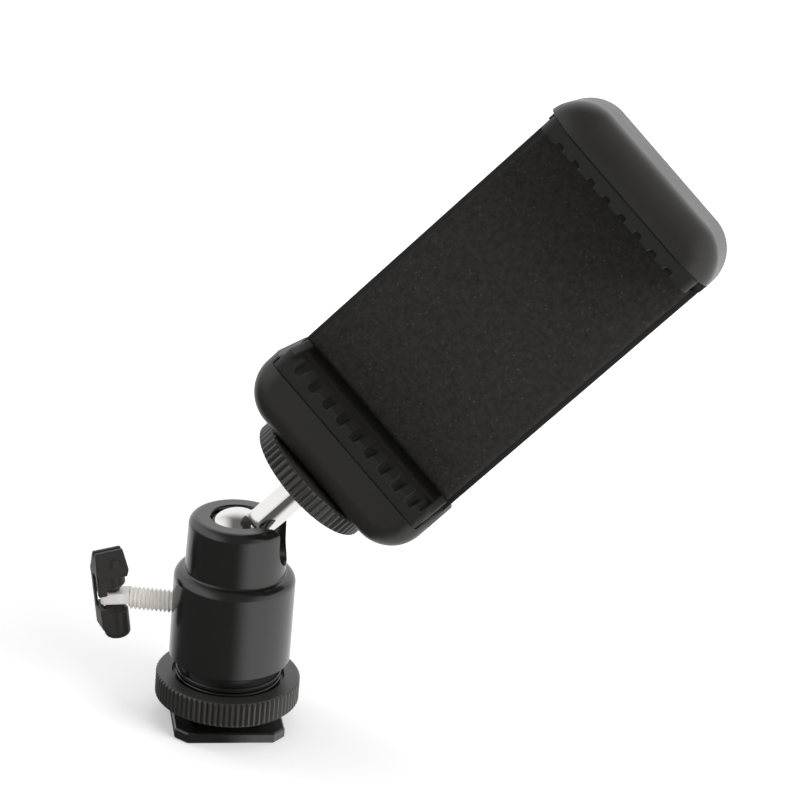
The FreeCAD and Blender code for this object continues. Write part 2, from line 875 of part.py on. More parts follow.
def make_clamp_body():
    body = new_body("clamp_body", CLAMP)
    rounds = ("jaw_front_round", "jaw_back_round")
    jaw_block(body, "jaw_half", "jaw_base", "cheek_top", "jaw_base", *rounds)
    box = sketch_on(body, "BoxSketch", "XY_Plane", "jaw_top")
    rectangle(box, "-box_half", "box_half", "box_front", "clamp_back")
    extrude(body, "Pad", "Box", box, "box_top - jaw_top")
    soften(
        body,
        "Fillet",
        "BoxRound",
        "box_round",
        lambda point: near(point.y, "clamp_back")
        and near(abs(point.x), "box_half")
        and (near(point.z, "jaw_top") or point.z > number("jaw_top")),
    )
    pad_seat = sketch_on(body, "PadSeatSketch", "XY_Plane", "jaw_top")
    pad_back = "pad_depth - jaw_front + seat_fit"
    rectangle(pad_seat, "-pad_half - seat_fit", "pad_half + seat_fit", "-jaw_front - overcut", pad_back)
    extrude(body, "Pocket", "PadSeat", pad_seat, "cheek_rise + overcut", reverse=True)
    cavity = sketch_on(body, "CavitySketch", "XZ_Plane", "-cavity_front")
    rectangle(cavity, "-cavity_half", "cavity_half", "cavity_base", "cavity_top")
    extrude(body, "Pocket", "Cavity", cavity, "clamp_back")
    recess = sketch_on(body, "CoverRecessSketch", "XZ_Plane", "-cover_front")
    rectangle(
        recess,
        "-cover_half - seat_fit",
        "cover_half + seat_fit",
        "cover_base - seat_fit",
        "cover_top + seat_fit",
    )
    extrude(body, "Pocket", "CoverRecess", recess, "cover_thickness + overcut")
    mouth = sketch_on(body, "SliderMouthSketch", "XY_Plane", "cavity_top - overcut")
    rectangle(
        mouth,
        "-slider_half - slide_fit",
        "slider_half + slide_fit",
        "cavity_front",
        "slider_back + slide_fit",
    )
    extrude(body, "Pocket", "SliderMouth", mouth, "box_top - cavity_top + overcut * 2", reverse=True)
    insert = sketch_on(body, "InsertSeatSketch", "XY_Plane", "jaw_base")
    circle(insert, "0", "0", "insert_radius + press_fit")
    extrude(body, "Pocket", "InsertSeat", insert, "insert_length + seat_fit", reverse=True)
    posts = sketch_on(body, "PostSketch", "XZ_Plane", "-cavity_front")
    for side in ("-", ""):
        circle(posts, f"{side}spring_half", "low_post_height", "post_radius")
    extrude(body, "Pad", "Posts", posts, "post_reach", reverse=True)
    holes = sketch_on(body, "CoverHoleSketch", "XZ_Plane", "-cover_front")
    for x, z in cover_screw_places():
        circle(holes, x, z, "screw_hole_radius + press_fit")
    extrude(body, "Pocket", "CoverHoles", holes, "screw_hole_depth", reverse=True)


def cover_screw_places():
    """Return the four places of the rear cover's screws."""
    high = "(cavity_top + cover_top) / 2"
    low = [(f"{side}low_screw_half", "low_screw_height") for side in ("-", "")]
    return low + [(f"{side}high_screw_half", high) for side in ("-", "")]


def make_cover(label, left, right, base, top, places):
    """Make a flat cover in the clamp's back, with countersunk places for its screws."""
    body = new_body(label, CLAMP)
    plate = sketch_on(body, "CoverSketch", "XZ_Plane", "-cover_front")
    rectangle(plate, left, right, base, top)
    extrude(body, "Pad", "Cover", plate, "cover_thickness", reverse=True)
    soften(
        body,
        "Fillet",
        "CoverCorners",
        "cover_round",
        lambda point: (near(point.x, left) or near(point.x, right))
        and (near(point.z, base) or near(point.z, top)),
    )
    heads = sketch_on(body, "HeadSketch", "XZ_Plane", "-clamp_back")
    shanks = sketch_on(body, "ShankSketch", "XZ_Plane", "-clamp_back")
    for x, z in places:
        circle(heads, x, z, "cover_head_radius + seat_fit")
        circle(shanks, x, z, "screw_hole_radius + seat_fit")
    extrude(body, "Pocket", "HeadSeats", heads, "cover_head_depth + seat_fit", reverse=True)
    extrude(body, "Pocket", "ShankHoles", shanks, "cover_thickness + overcut", reverse=True)


def make_screws(label, places, depth):
    """Make a group of small self-tapping screws as separate solids of one shape."""
    group = document.addObject("Part::Feature", label)
    solids = []
    for x, z in places:
        head_base = FreeCAD.Vector(number(x), number("clamp_back - cover_head_depth"), number(z))
        shank_base = FreeCAD.Vector(number(x), number(f"cover_front - ({depth})"), number(z))
        head_tall = number("cover_head_depth")
        head = Part.makeCylinder(number("cover_head_radius"), head_tall, head_base, Y_AXIS)
        length = number(f"cover_thickness + {depth} - cover_head_depth / 2")
        shank = Part.makeCylinder(number("screw_hole_radius"), length, shank_base, Y_AXIS)
        solids.append(head.fuse(shank).removeSplitter().Solids[0])
    group.Shape = Part.makeCompound(solids)
    group.Label = label
    group.Placement = CLAMP
    bodies.append(group)


def make_foam_pad():
    body = new_body("foam_pad", CLAMP)
    sheet_sketch = sketch_on(body, "FoamSketch", "XZ_Plane", "-box_front")
    rectangle(sheet_sketch, "-foam_half", "foam_half", "foam_base", "box_top - foam_gap")
    extrude(body, "Pad", "Foam", sheet_sketch, "foam_thickness")


def jaw_pad(label, half, base, way, teeth, pitch, width, height, depth, lip):
    """Make a rubber pad with teeth along its front. way is the sign of the side they point to."""
    body = new_body(label, CLAMP)
    front = "jaw_front - pad_inset"
    tip = f"{base} {way} pad_thickness"
    strip = sketch_on(body, "StripSketch", "XZ_Plane", front)
    rectangle(strip, f"-{half}", half, base, tip)
    extrude(body, "Pad", "Strip", strip, "pad_depth - pad_inset", reverse=True)
    row = sketch_on(body, "ToothSketch", "XZ_Plane", front)
    start = f"-{pitch} * ({teeth} - 1) / 2"
    sink = f"{tip} {opposite(way)} pad_thickness / 4"
    left = f"{start} - {width} / 2"
    right = f"{start} + {width} / 2"
    crown = f"{tip} {way} {height}"
    points = [
        (f"{left} - {height} / 4", sink),
        (f"{right} + {height} / 4", sink),
        (right, crown),
        (left, crown),
    ]
    outline(row, points)
    tooth = extrude(body, "Pad", "Tooth", row, depth, reverse=True)
    pattern = body.newObject("PartDesign::LinearPattern", "Teeth")
    pattern.Originals = [tooth]
    pattern.Direction = (row, ["H_Axis"])
    bind(pattern, "Length", f"{pitch} * ({teeth} - 1)")
    bind(pattern, "Occurrences", teeth)
    body.Tip = pattern
    document.recompute()
    for side in ("-", ""):
        end = sketch_on(body, "LipSketch", "XZ_Plane", front)
        inner = f"{side}({half} - lip_width)"
        rectangle(end, inner, f"{side}{half}", base, f"{tip} {way} {lip}")
        extrude(body, "Pad", "Lip", end, "pad_depth - pad_inset", reverse=True)
    soften(
        body,
        "Fillet",
        "PadCorners",
        "pad_round",
        lambda point: near(abs(point.x), half) and near(point.y, f"-({front})"),
    )


def opposite(way):
    return "-" if way == "+" else "+"


def jaw_screw_places():
    """Return the two places of the jaw cover's screws."""
    middle = "(jaw_cover_low + jaw_cover_high) / 2"
    return [(f"{side}jaw_screw_half", middle) for side in ("-", "")]


def make_upper_jaw():
    body = new_body("upper_jaw", CLAMP)
    rounds = ("upper_front_round", "upper_back_round")
    jaw_block(body, "upper_jaw_half", "skirt_base", "upper_jaw_top", "upper_jaw_top", *rounds)
    throat = sketch_on(body, "ThroatSketch", "YZ_Plane")
    throat_back = "box_front - foam_thickness - slide_fit"
    rectangle(throat, "-jaw_front - overcut", throat_back, "skirt_base - overcut", "upper_jaw_base")
    extrude(body, "Pocket", "Throat", throat, "(upper_jaw_half + overcut) * 2", both_ways=True)
    plate = sketch_on(body, "SliderSketch", "XZ_Plane", "-slider_front")
    rectangle(plate, "-slider_half", "slider_half", "slider_low", "skirt_base + slide_fit")
    extrude(body, "Pad", "Slider", plate, "slider_thickness", reverse=True)
    for side in ("-", ""):
        ear = sketch_on(body, "EarSketch", "XZ_Plane", "-slider_front")
        inner = f"{side}(slider_half - wall)"
        outer = f"{side}(cavity_half - slide_fit)"
        rectangle(ear, inner, outer, "ear_low", "ear_low + ear_tall")
        extrude(body, "Pad", "Ear", ear, "ear_thickness", reverse=True)
    posts = sketch_on(body, "PostSketch", "XZ_Plane", "-cavity_front - ear_thickness / 2")
    for side in ("-", ""):
        circle(posts, f"{side}spring_half", "ear_post_height", "post_radius")
    extrude(body, "Pad", "Posts", posts, "post_reach - ear_thickness / 2", reverse=True)
    recess = sketch_on(body, "CoverRecessSketch", "XZ_Plane", "-cover_front")
    rectangle(
        recess,
        "-jaw_cover_half - seat_fit",
        "jaw_cover_half + seat_fit",
        "jaw_cover_low - seat_fit",
        "jaw_cover_high + seat_fit",
    )
    extrude(body, "Pocket", "CoverRecess", recess, "cover_thickness + overcut")
    hollow = sketch_on(body, "HollowSketch", "XZ_Plane", "-cover_front")
    inner = "jaw_screw_half - cover_head_radius"
    rectangle(hollow, f"-({inner})", inner, "jaw_cover_low + wall / 2", "jaw_cover_high - wall / 2")
    extrude(body, "Pocket", "Hollow", hollow, "jaw_hollow_depth", reverse=True)
    holes = sketch_on(body, "CoverHoleSketch", "XZ_Plane", "-cover_front")
    for x, z in jaw_screw_places():
        circle(holes, x, z, "screw_hole_radius + press_fit")
    extrude(body, "Pocket", "CoverHoles", holes, "screw_hole_depth", reverse=True)


def make_spring(label, side):
    """Make one tension spring as a close-wound tube with a loop at each end."""
    body = new_body(label, CLAMP)
    low = "low_post_height + loop_radius"
    high = "ear_post_height - loop_radius"
    place = {"x": f"{side}spring_half", "y": "spring_depth"}
    primitive(
        body,
        "AdditiveCylinder",
        "Coils",
        {"Radius": "spring_radius", "Height": f"{high} - ({low})"},
        z=low,
        **place,
    )
    primitive(
        body,
        "SubtractiveCylinder",
        "Hollow",
        {"Radius": "spring_radius - spring_wire * 2", "Height": f"{high} - ({low}) - spring_wire * 4"},
        z=f"{low} + spring_wire * 2",
        **place,
    )
    upright = FreeCAD.Rotation(X_AXIS, 90)
    for height in ("low_post_height", "ear_post_height"):
        primitive(
            body,
            "AdditiveTorus",
            "Loop",
            {"Radius1": "loop_radius", "Radius2": "spring_wire"},
            z=height,
            rotation=upright,
            **place,
        )


make_shoe_foot()
make_lock_ring()
make_head_housing()
make_ball_seat()
make_pressure_pin()
make_clamp_screw()
make_wing_handle()
make_handle_pin()
make_ball_stud()
make_lock_disc()
make_thread_insert()
make_clamp_body()
make_cover("rear_cover", "-cover_half", "cover_half", "cover_base", "cover_top", cover_screw_places())
make_screws("cover_screws", cover_screw_places(), "screw_hole_depth - seat_fit")
make_foam_pad()
jaw_pad(
    "lower_jaw_pad",
    "pad_half",
    "jaw_top",
    "+",
    "lower_teeth",
    "lower_pitch",
    "lower_tooth_width",
    "lower_tooth_height",
    "lower_tooth_depth",
    "lip_rise",
)
make_upper_jaw()
jaw_pad(
    "upper_jaw_pad",
    "upper_pad_half",
    "upper_jaw_base",
    "-",
    "upper_teeth",
    "upper_pitch",
    "upper_tooth_width",
    "upper_tooth_height",
    "upper_tooth_depth",
    "upper_tooth_height",
)
make_cover(
    "jaw_rear_cover",
    "-jaw_cover_half",
    "jaw_cover_half",
    "jaw_cover_low",
    "jaw_cover_high",
    jaw_screw_places(),
)
make_screws("jaw_cover_screws", jaw_screw_places(), "screw_hole_depth - seat_fit")
make_spring("spring_left", "-")
make_spring("spring_right", "")

document.recompute()
for item in document.Objects:
    if "Invalid" in item.State or "Error" in item.State:
        raise RuntimeError(f"{item.Name} failed: {item.State}")
for body in bodies:
    if body.Shape.isNull() or not body.Shape.isValid():
        raise RuntimeError(f"{body.Label} has no valid shape")

os.makedirs("parts", exist_ok=True)
for body in bodies:
    body.Shape.exportStep(os.path.join("parts", f"{body.Label}.step"))
    box = body.Shape.BoundBox
    count = len(body.Shape.Solids)
    print(f"{body.Label}: {count} solid, {body.Shape.Volume:.2f} mm3, z {box.ZMin:.2f} to {box.ZMax:.2f}")
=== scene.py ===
# %% [markdown]
# # A phone clamp on a mini ball head
#
# The real object is small: a black metal ball head that slides into a camera's accessory shoe, a chrome
# ball and stud, and a spring-loaded plastic clamp with a foam back and toothed rubber pads.
#
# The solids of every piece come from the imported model, so this lesson starts with them. It then makes
# what solids leave out: a screw thread, soft moulded edges, foam, wound springs, and a finish for every
# surface.

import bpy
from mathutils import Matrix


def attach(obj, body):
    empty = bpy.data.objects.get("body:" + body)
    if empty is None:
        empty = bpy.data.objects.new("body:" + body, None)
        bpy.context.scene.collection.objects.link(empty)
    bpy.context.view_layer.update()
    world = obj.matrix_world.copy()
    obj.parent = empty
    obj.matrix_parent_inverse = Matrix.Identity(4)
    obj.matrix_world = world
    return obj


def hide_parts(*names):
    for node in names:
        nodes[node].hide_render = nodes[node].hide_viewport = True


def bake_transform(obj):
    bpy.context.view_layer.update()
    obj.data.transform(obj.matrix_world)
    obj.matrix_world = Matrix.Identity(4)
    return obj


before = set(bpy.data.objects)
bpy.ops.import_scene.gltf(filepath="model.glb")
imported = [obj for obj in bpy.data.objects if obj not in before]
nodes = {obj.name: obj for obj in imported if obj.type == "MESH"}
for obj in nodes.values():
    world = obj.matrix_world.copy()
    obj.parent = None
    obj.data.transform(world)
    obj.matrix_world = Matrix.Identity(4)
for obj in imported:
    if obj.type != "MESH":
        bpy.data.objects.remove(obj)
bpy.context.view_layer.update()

# %% Tools and units
import math

import bmesh
import bpy
from mathutils import Matrix, Vector

MM = 0.001
FROM_MM = Matrix.Scale(MM, 4)
TO_MM = Matrix.Scale(1 / MM, 4)


def turned(angle, axis):
    return Matrix.Rotation(math.radians(angle), 4, axis)


def moved(x, y, z):
    return Matrix.Translation((x * MM, y * MM, z * MM))


def new_object(name, data):
    """Make an object and show it in the scene."""
    item = bpy.data.objects.new(name, data)
    bpy.context.scene.collection.objects.link(item)
    return item


# %% [markdown]
# ## Frames of the leaning pieces
#
# The foot stands straight, but the head is turned on it, the ball leans in its socket, and the clamp is
# turned on the stud. A piece is easiest to draw upright, in millimetres, in a frame of its own. Each
# frame below is one matrix, built on the one before it, so a drawing lands where its solid is.

# %% Frames
HEAD_TURN = -11.8
BALL_HEIGHT = 32.6
STUD_LEAN = 41.3
CLAMP_REACH = 16.5
CLAMP_TURN = -16.6
SCREW_HEIGHT = 20.8
PIVOT_REACH = 20
PIVOT_LEAN = -8.5

HEAD = turned(HEAD_TURN, "Z")
STUD = HEAD @ moved(0, 0, BALL_HEIGHT) @ turned(STUD_LEAN, "Y")
CLAMP = STUD @ moved(0, 0, CLAMP_REACH) @ turned(CLAMP_TURN, "Z")
SCREW = HEAD @ moved(0, 0, SCREW_HEIGHT) @ turned(-90, "Y")
PIVOT = HEAD @ moved(-PIVOT_REACH, 0, SCREW_HEIGHT) @ turned(PIVOT_LEAN, "Y")
print("stud points along", [round(x, 3) for x in STUD.col[2][:3]])

# %% [markdown]
# ## Camera
#
# The picture looks down on the head by about 21 degrees, with a long lens, and the camera leans a
# little to one side. A camera looks along its own -Z axis, so its matrix holds three directions: right,
# up and back.

# %% Camera
VIEW_TURN = turned(-11.2, "Z")
LENS = 120.24
SENSOR_WIDTH = 36
NEAREST = 0.01
LOOK_DOWN = math.radians(21.5)
LEAN = math.radians(5.3)
LOOK_FROM = Vector((24.64, -401.91, 218.92)) * MM


def make_camera():
    data = bpy.data.cameras.new("camera")
    data.sensor_width = SENSOR_WIDTH
    data.lens = LENS
    data.clip_start = NEAREST
    camera = new_object("camera", data)
    level_right = Vector((1, 0, 0))
    level_up = Vector((0, math.sin(LOOK_DOWN), math.cos(LOOK_DOWN)))
    right = level_right * math.cos(LEAN) + level_up * math.sin(LEAN)
    up = level_up * math.cos(LEAN) - level_right * math.sin(LEAN)
    back = right.cross(up)
    pose = Matrix((right, up, back)).transposed().to_4x4()
    pose.translation = LOOK_FROM
    camera.matrix_world = VIEW_TURN @ pose
    bpy.context.scene.camera = camera
    return camera


camera = make_camera()
print("camera at", [round(x, 3) for x in camera.matrix_world.translation])

# %% [markdown]
# ## Helpers for node materials
#
# Each finish is one Principled BSDF with its plain numbers on its own sockets. Only what changes over
# the surface is wired in: colour, roughness and the height of a bump. Places come from the Object
# coordinates, in metres, so one millimetre of grain stays one millimetre on every piece.

# %% Material helpers
def link(tree, source, target):
    tree.links.new(source, target)


def add_node(tree, kind, **settings):
    node = tree.nodes.new(kind)
    for name, value in settings.items():
        setattr(node, name, value)
    return node


def feed(tree, value, target):
    """Give a socket a plain number, or wire another socket into it."""
    if isinstance(value, float):
        target.default_value = value
    else:
        link(tree, value, target)


def combined(tree, operation, first, second):
    """Return what a Math node makes of two values, each a number or a socket."""
    node = add_node(tree, "ShaderNodeMath", operation=operation)
    feed(tree, first, node.inputs[0])
    feed(tree, second, node.inputs[1])
    return node.outputs["Value"]


def one_over(tree, size):
    """Return 1 / size, which turns the size of a grain into the scale of its texture."""
    return combined(tree, "DIVIDE", 1.0, size)


def ramp_between(tree, source, low, high, out_low=0.0, out_high=1.0):
    """Map a value from low..high to out_low..out_high with a soft start and end."""
    node = add_node(tree, "ShaderNodeMapRange", interpolation_type="SMOOTHSTEP")
    node.inputs["From Min"].default_value = low
    node.inputs["From Max"].default_value = high
    node.inputs["To Min"].default_value = out_low
    node.inputs["To Max"].default_value = out_high
    link(tree, source, node.inputs["Value"])
    return node.outputs["Result"]


# %% New node group
def new_group(name, inputs, outputs):
    """Start a shader group with float inputs, given with their defaults, and float outputs."""
    tree = bpy.data.node_groups.new(name, "ShaderNodeTree")
    for label, value in inputs.items():
        socket = tree.interface.new_socket(label, in_out="INPUT", socket_type="NodeSocketFloat")
        socket.default_value = value
    for label in outputs:
        tree.interface.new_socket(label, in_out="OUTPUT", socket_type="NodeSocketFloat")
    return tree, add_node(tree, "NodeGroupInput"), add_node(tree, "NodeGroupOutput")


# %% [markdown]
# ## Grain
#
# Moulded plastic, rubber and anodised metal all have a fine uneven skin. A group holds that skin once:
# noise of a named size gives a height for the bump, and slower noise gives patches that are a little
# duller.

# %% Grain group
NOISE_DETAIL = 3.0
NOISE_ROUGHNESS = 0.6


def make_grain():
    inputs = {"Size": 0.0003, "Patch Size": 0.01}
    tree, given, result = new_group("skin grain", inputs, ("Height", "Patches"))
    place = add_node(tree, "ShaderNodeTexCoord")
    for label, size in (("Height", "Size"), ("Patches", "Patch Size")):
        noise = add_node(tree, "ShaderNodeTexNoise")
        noise.inputs["Detail"].default_value = NOISE_DETAIL
        noise.inputs["Roughness"].default_value = NOISE_ROUGHNESS
        link(tree, place.outputs["Object"], noise.inputs["Vector"])
        link(tree, one_over(tree, given.outputs[size]), noise.inputs["Scale"])
        link(tree, noise.outputs["Fac"], result.inputs[label])
    return tree


grain_group = make_grain()
print("group:", grain_group.name)

# %% [markdown]
# ## Specks
#
# Black surfaces show every fleck of dust, and foam has lighter cells. Both are small light dots with
# space between them: a Voronoi texture gives the distance to the nearest dot, and a limit on each dot's
# random colour takes most of the dots away.

# %% Speck group
def make_specks():
    inputs = {"Spacing": 0.001, "Dot": 0.12, "Share": 0.5}
    tree, given, result = new_group("light specks", inputs, ("Mask",))
    place = add_node(tree, "ShaderNodeTexCoord")
    dots = add_node(tree, "ShaderNodeTexVoronoi")
    link(tree, place.outputs["Object"], dots.inputs["Vector"])
    link(tree, one_over(tree, given.outputs["Spacing"]), dots.inputs["Scale"])
    inside = combined(tree, "LESS_THAN", dots.outputs["Distance"], given.outputs["Dot"])
    level = add_node(tree, "ShaderNodeSeparateColor")
    link(tree, dots.outputs["Color"], level.inputs["Color"])
    chosen = combined(tree, "LESS_THAN", level.outputs["Red"], given.outputs["Share"])
    link(tree, combined(tree, "MULTIPLY", inside, chosen), result.inputs["Mask"])
    return tree


speck_group = make_specks()
print("group:", speck_group.name)

# %% [markdown]
# ## One recipe for every finish
#
# The finishes differ in numbers: how dark, how metallic, how glossy, and how strong the grain. One
# function builds them all, so a change in the recipe reaches every piece. Its three parts come first: a
# colour that varies in patches, light specks on it, and a normal that carries soft edges and grain.

# %% Parts of the recipe
EDGE_SAMPLES = 6


def patchy_colour(tree, grain, colour, shade):
    """Return a colour that is a little darker or lighter from patch to patch."""
    tint = add_node(tree, "ShaderNodeMix", data_type="RGBA")
    tint.inputs["A"].default_value = (*[part * (1 - shade) for part in colour], 1)
    tint.inputs["B"].default_value = (*[part * (1 + shade) for part in colour], 1)
    link(tree, grain.outputs["Patches"], tint.inputs["Factor"])
    return tint.outputs["Result"]


def specked_colour(tree, skin, speck, colour):
    """Put light specks on a skin, given by their spacing, the size of a dot and the share that is kept."""
    specks = add_node(tree, "ShaderNodeGroup", node_tree=speck_group)
    for label, value in zip(("Spacing", "Dot", "Share"), speck):
        specks.inputs[label].default_value = value
    dusted = add_node(tree, "ShaderNodeMix", data_type="RGBA")
    dusted.inputs["B"].default_value = (*colour, 1)
    link(tree, skin, dusted.inputs["A"])
    link(tree, specks.outputs["Mask"], dusted.inputs["Factor"])
    return dusted.outputs["Result"]


def wire_normal(tree, grain, edge, grain_depth, target):
    """Wire in a normal that rounds sharp edges by edge and lets the grain stand up by grain_depth."""
    normal = None
    if edge:
        soft = add_node(tree, "ShaderNodeBevel", samples=EDGE_SAMPLES)
        soft.inputs["Radius"].default_value = edge
        normal = soft.outputs["Normal"]
    if grain_depth:
        bump = add_node(tree, "ShaderNodeBump")
        bump.inputs["Distance"].default_value = grain_depth
        link(tree, grain.outputs["Height"], bump.inputs["Height"])
        if normal is not None:
            link(tree, normal, bump.inputs["Normal"])
        normal = bump.outputs["Normal"]
    if normal is not None:
        link(tree, normal, target)


# %% Finish recipe
COAT_ROUGHNESS = 0.12
PATCH_LOW = 0.3
PATCH_HIGH = 0.7


def make_finish(
    name,
    colour,
    metallic=0.0,
    roughness=(0.3, 0.4),
    specular=0.5,
    coat=0.0,
    grain_size=0.0003,
    grain_depth=0.0,
    patch_size=0.012,
    shade=0.15,
    speck=None,
    speck_colour=(0.3, 0.29, 0.27),
    edge=0.0,
):
    """Make a material. The patches cover the range of roughness, shade is how much they darken the colour,
    and edge is the radius, in metres, that its sharp edges seem to have."""
    material = bpy.data.materials.new(name)
    material.use_nodes = True
    tree = material.node_tree
    shader = tree.nodes["Principled BSDF"]
    shader.inputs["Metallic"].default_value = metallic
    shader.inputs["Specular IOR Level"].default_value = specular
    shader.inputs["Coat Weight"].default_value = coat
    shader.inputs["Coat Roughness"].default_value = COAT_ROUGHNESS
    grain = add_node(tree, "ShaderNodeGroup", node_tree=grain_group)
    grain.inputs["Size"].default_value = grain_size
    grain.inputs["Patch Size"].default_value = patch_size
    patches = ramp_between(tree, grain.outputs["Patches"], PATCH_LOW, PATCH_HIGH, *roughness)
    link(tree, patches, shader.inputs["Roughness"])
    skin = patchy_colour(tree, grain, colour, shade)
    if speck:
        skin = specked_colour(tree, skin, speck, speck_colour)
    link(tree, skin, shader.inputs["Base Color"])
    wire_normal(tree, grain, edge, grain_depth, shader.inputs["Normal"])
    return material


# %% [markdown]
# ## The metal finishes
#
# Black anodised aluminium is glossy but not a mirror. Its knurled rims are duller, and their colour is
# painted lighter than the smooth metal's, a painted sheen for the light that each ridge catches. Polished
# chrome stands next to plain steel: chrome mirrors the room, and the zinc on the steel scatters most of
# the light, so it gets a low metallic value and a pale colour.

# %% Metal finishes
anodised = make_finish(
    "black anodised aluminium",
    (0.009, 0.0086, 0.0081),
    roughness=(0.17, 0.22),
    specular=0.8,
    coat=0.15,
    grain_size=0.00012,
    grain_depth=0.0000015,
    speck=(0.004, 0.02, 0.25),
    speck_colour=(0.12, 0.11, 0.1),
    edge=0.00012,
)
# The knurled rims' colour is painted lighter than the smooth anodising: a painted sheen for the light the
# ridges catch.
knurled_with_painted_sheen = make_finish(
    "knurled anodised rim, painted sheen",
    (0.03, 0.0289, 0.0275),
    roughness=(0.32, 0.38),
    specular=0.75,
    grain_size=0.00012,
    grain_depth=0.000003,
)
chrome = make_finish("polished chrome", (0.86, 0.85, 0.84), metallic=1.0, roughness=(0.03, 0.06), shade=0.02)
steel = make_finish(
    "zinc plated steel",
    (0.88, 0.85, 0.81),
    metallic=0.2,
    roughness=(0.34, 0.46),
    grain_size=0.00015,
    grain_depth=0.000006,
    patch_size=0.002,
    shade=0.12,
)
brass = make_finish("turned brass", (0.75, 0.56, 0.25), metallic=1.0, roughness=(0.22, 0.34))
spring_steel = make_finish("spring steel", (0.5, 0.5, 0.5), metallic=1.0, roughness=(0.25, 0.38))
print("metals:", [m.name for m in (anodised, knurled_with_painted_sheen, chrome, steel, brass, spring_steel)])

# %% [markdown]
# ## The plastics, rubber and foam
#
# The clamp is satin black plastic with a warm tone, the pads are softer and duller, and the foam is the
# flattest black, with cells that show as a coarse grain and a few lighter specks.

# %% Plastic, rubber and foam finishes
plastic = make_finish(
    "satin black plastic",
    (0.017, 0.0161, 0.015),
    roughness=(0.3, 0.36),
    grain_size=0.00014,
    grain_depth=0.000012,
    speck=(0.006, 0.012, 0.3),
    edge=0.00025,
)
handle_plastic = make_finish(
    "moulded handle plastic",
    (0.02, 0.019, 0.0178),
    roughness=(0.36, 0.46),
    grain_size=0.0002,
    grain_depth=0.00002,
    patch_size=0.003,
)
rubber = make_finish(
    "black rubber",
    (0.011, 0.0105, 0.0099),
    roughness=(0.48, 0.56),
    grain_size=0.00018,
    grain_depth=0.00002,
)
foam = make_finish(
    "black foam",
    (0.025, 0.0239, 0.022),
    roughness=(0.9, 0.98),
    specular=0.25,
    grain_size=0.0004,
    grain_depth=0.00016,
    patch_size=0.0008,
    shade=0.8,
    speck=(0.0009, 0.18, 0.3),
    speck_colour=(0.05, 0.047, 0.042),
)
acetal = make_finish("white acetal", (0.75, 0.74, 0.7), roughness=(0.4, 0.5))
print(len(bpy.data.materials), "materials")

# %% Finish of every solid
FINISHES = {
    "shoe_foot": anodised,
    "lock_ring": knurled_with_painted_sheen,
    "head_housing": anodised,
    "lock_disc": knurled_with_painted_sheen,
    "ball_stud": chrome,
    "clamp_screw": steel,
    "pressure_pin": steel,
    "handle_pin": steel,
    "cover_screws": steel,
    "jaw_cover_screws": steel,
    "wing_handle": handle_plastic,
    "clamp_body": plastic,
    "upper_jaw": plastic,
    "rear_cover": plastic,
    "jaw_rear_cover": plastic,
    "foam_pad": foam,
    "lower_jaw_pad": rubber,
    "upper_jaw_pad": rubber,
    "ball_seat": acetal,
    "thread_insert": brass,
    "spring_left": spring_steel,
    "spring_right": spring_steel,
}
for node, material in FINISHES.items():
    slots = nodes[node].data.materials
    slots.clear()
    slots.append(material)
print(len(FINISHES), "nodes finished")

# %% [markdown]
# ## Helpers for pieces
#
# A piece is drawn in millimetres in one of the frames above, then put in place, given a finish, and
# made to ride on its body. Where it stands for a solid, that solid is hidden.

# %% Piece helpers
SHARP_ANGLE = math.radians(35)


def mesh_piece(name, mesh, body, node, smooth=True):
    """Make a mesh the piece that stands for a node, with the finish of that node."""
    piece = new_object(name, mesh)
    mesh.materials.clear()
    mesh.materials.append(FINISHES[node])
    for face in mesh.polygons:
        face.use_smooth = smooth
    if smooth:
        mesh.set_sharp_from_angle(angle=SHARP_ANGLE)
    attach(piece, body)
    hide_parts(node)
    print(f"{name}: {len(mesh.polygons)} faces")
    return piece


def new_piece(name, shape, place, body, node, smooth=True):
    """Turn a bmesh drawn in millimetres into a finished piece of the object."""
    shape.transform(place @ FROM_MM)
    bmesh.ops.recalc_face_normals(shape, faces=shape.faces)
    mesh = bpy.data.meshes.new(name)
    shape.to_mesh(mesh)
    shape.free()
    return mesh_piece(name, mesh, body, node, smooth)


def wrapped_tube(shape, rings):
    """Join rings of points, one after another, into a tube with closed ends, and return its points."""
    rows = [[shape.verts.new(point) for point in ring] for ring in rings]
    around = len(rows[0])
    for low, high in zip(rows, rows[1:]):
        for index in range(around):
            after = (index + 1) % around
            shape.faces.new((low[index], low[after], high[after], high[index]))
    shape.faces.new(reversed(rows[0]))
    shape.faces.new(rows[-1])
    return [point for row in rows for point in row]


def grid_rim(grid):
    """Return the points round the outside of a grid, in order."""
    right = [row[-1] for row in grid[:-1]]
    left = [row[0] for row in grid[:0:-1]]
    return grid[0][:-1] + right + grid[-1][:0:-1] + left


def closed_grid(shape, grid, depth):
    """Cover a grid of points with faces, draw its rim straight back to a depth along Y and close it."""
    for low, high in zip(grid, grid[1:]):
        for index in range(len(low) - 1):
            shape.faces.new((low[index], low[index + 1], high[index + 1], high[index]))
    rim = grid_rim(grid)
    back = [shape.verts.new((point.co.x, depth, point.co.z)) for point in rim]
    for index in range(len(rim)):
        after = (index + 1) % len(rim)
        shape.faces.new((rim[index], rim[after], back[after], back[index]))
    shape.faces.new(back)


# %% [markdown]
# ## The clamp screw's thread
#
# The screw is M4: its crests are 4 mm across and 0.7 mm apart. A thread is a cylinder whose radius
# depends on how far along and how far round a point lies, so a fine grid can carry it: both are added
# up into one phase, and the phase picks crest, flank or root. That is simpler than sweeping a profile,
# and leaves no loose faces.

# %% Threaded rod
THREAD = {"start": 8.6, "end": 17.3, "pitch": 0.7, "crest": 1.95, "depth": 0.4, "bevel": 0.4}
CREST_SHARE = 0.15
FLANK_SHARE = 0.62
RINGS_A_PITCH = 14
THREAD_AROUND = 56


